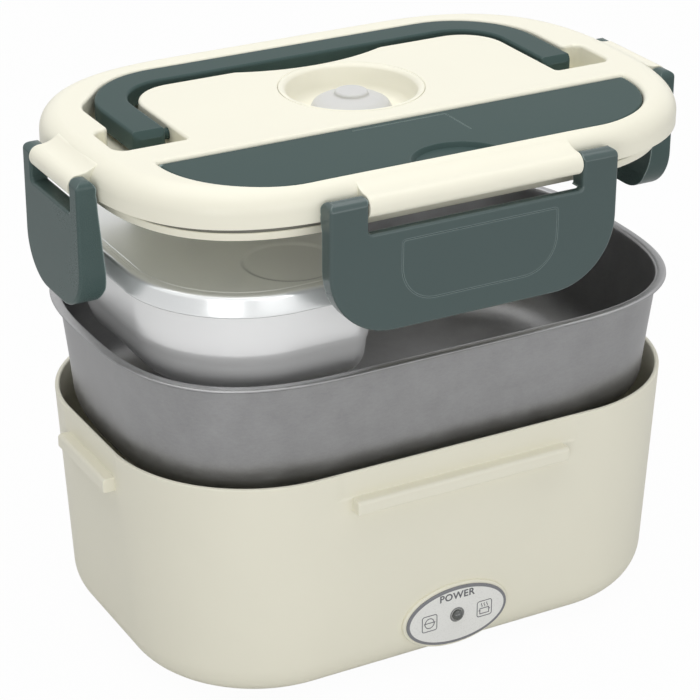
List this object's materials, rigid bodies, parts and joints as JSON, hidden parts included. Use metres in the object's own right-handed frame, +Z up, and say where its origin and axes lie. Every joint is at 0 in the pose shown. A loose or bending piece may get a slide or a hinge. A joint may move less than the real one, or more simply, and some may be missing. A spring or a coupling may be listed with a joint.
{
  "type": "electric lunch box",
  "caption": "Electric lunch box shown opened out: heated base, steel tray, small covered food box, and a clip-on lid with bail handle, steam valve and cutlery compartment.",
  "frame": {"origin": "centre of the base, on the plane its feet stand on", "axes": "+X along the length, to the right of someone facing the badge; +Y towards the back, where the power inlet is; +Z up"},
  "size_m": [0.2566, 0.1726, 0.2107],
  "materials": {
    "cream_base": "fine matt, moulded",
    "cream_lid": "satin, moulded",
    "teal": "satin, moulded",
    "steel": "dull rolled stainless steel",
    "clear_box": "milky translucent",
    "silicone": "soft matt silicone",
    "tub": "matt",
    "cutlery": "polished stainless steel",
    "badge_print": "printed satin film",
    "lamp_lens": "tinted lens",
    "board": "solder mask",
    "screws": "plated",
    "aluminium": "milled",
    "ceramic": "fired ceramic and mica",
    "black": "fine matt",
    "lead_skin": "braided glass sleeve",
    "brass": "bright",
    "shield": "rolled",
    "cover": "fine matt",
    "feet": "matt"
  },
  "bodies": {
    "base": {"base_shell": "cream_base", "heater_deck": "cream_base", "badge": "badge_print", "lamp": "lamp_lens", "lamp_board": "board", "board_screws": "screws", "lamp_leads": "lead_skin", "heating_plate": "aluminium", "heater_element": "ceramic", "element_strap": "shield", "strap_screws": "screws", "thermostat": "black", "thermal_fuse": "brass", "heat_shield": "shield", "plate_screws": "screws", "power_inlet": "black", "inlet_pins": "brass", "heater_leads": "lead_skin", "bottom_cover": "cover", "cover_screws": "screws", "feet": "feet"},
    "tray": {"tray": "steel"},
    "insert": {"insert_box": "clear_box"},
    "insert_cover": {"insert_cover": "clear_box"},
    "lid": {"lid_shell": "cream_lid", "lid_inner": "cream_lid", "lid_gasket": "silicone", "lid_screws": "screws", "valve_cup": "cream_lid", "cutlery_tub": "tub", "spoon": "cutlery", "fork": "cutlery"},
    "handle": {"handle": "teal"},
    "latch_front": {"latch_front": "teal"},
    "latch_back": {"latch_back": "teal"},
    "latch_left": {"latch_left": "teal"},
    "latch_right": {"latch_right": "teal"},
    "cutlery_cover": {"cutlery_cover": "teal"},
    "steam_valve": {"steam_valve": "silicone"}
  },
  "joints": [
    {"name": "tray_lift", "type": "slide", "parent": "base", "child": "tray", "axis": [0, 0, 1], "range_m": [-0.0384, 0.06]},
    {"name": "insert_lift", "type": "slide", "parent": "tray", "child": "insert", "axis": [0, 0, 1], "range_m": [-0.0433, 0.06]},
    {"name": "cover_lift", "type": "slide", "parent": "insert", "child": "insert_cover", "axis": [0, 0, 1], "range_m": [0, 0.03]},
    {"name": "lid_lift", "type": "slide", "parent": "insert_cover", "child": "lid", "axis": [0, 0, 1], "range_m": [-0.01735, 0.06]},
    {"name": "handle_hinge", "type": "hinge", "parent": "lid", "child": "handle", "pos_m": [0, 0.004, 0.20675], "axis": [1, 0, 0], "range_deg": [0, 95]},
    {"name": "latch_front_hinge", "type": "hinge", "parent": "lid", "child": "latch_front", "pos_m": [0, -0.0821, 0.202], "axis": [-1, 0, 0], "range_deg": [0, 105]},
    {"name": "latch_back_hinge", "type": "hinge", "parent": "lid", "child": "latch_back", "pos_m": [0, 0.0821, 0.202], "axis": [1, 0, 0], "range_deg": [0, 105]},
    {"name": "latch_left_hinge", "type": "hinge", "parent": "lid", "child": "latch_left", "pos_m": [-0.1241, 0, 0.202], "axis": [0, 1, 0], "range_deg": [0, 105]},
    {"name": "latch_right_hinge", "type": "hinge", "parent": "lid", "child": "latch_right", "pos_m": [0.1241, 0, 0.202], "axis": [0, -1, 0], "range_deg": [0, 105]},
    {"name": "cutlery_hinge", "type": "hinge", "parent": "lid", "child": "cutlery_cover", "pos_m": [0, -0.0313, 0.20845], "axis": [-1, 0, 0], "range_deg": [0, 95]},
    {"name": "valve_slide", "type": "slide", "parent": "lid", "child": "steam_valve", "axis": [0, 0, 1], "range_m": [0, 0.003]}
  ]
}
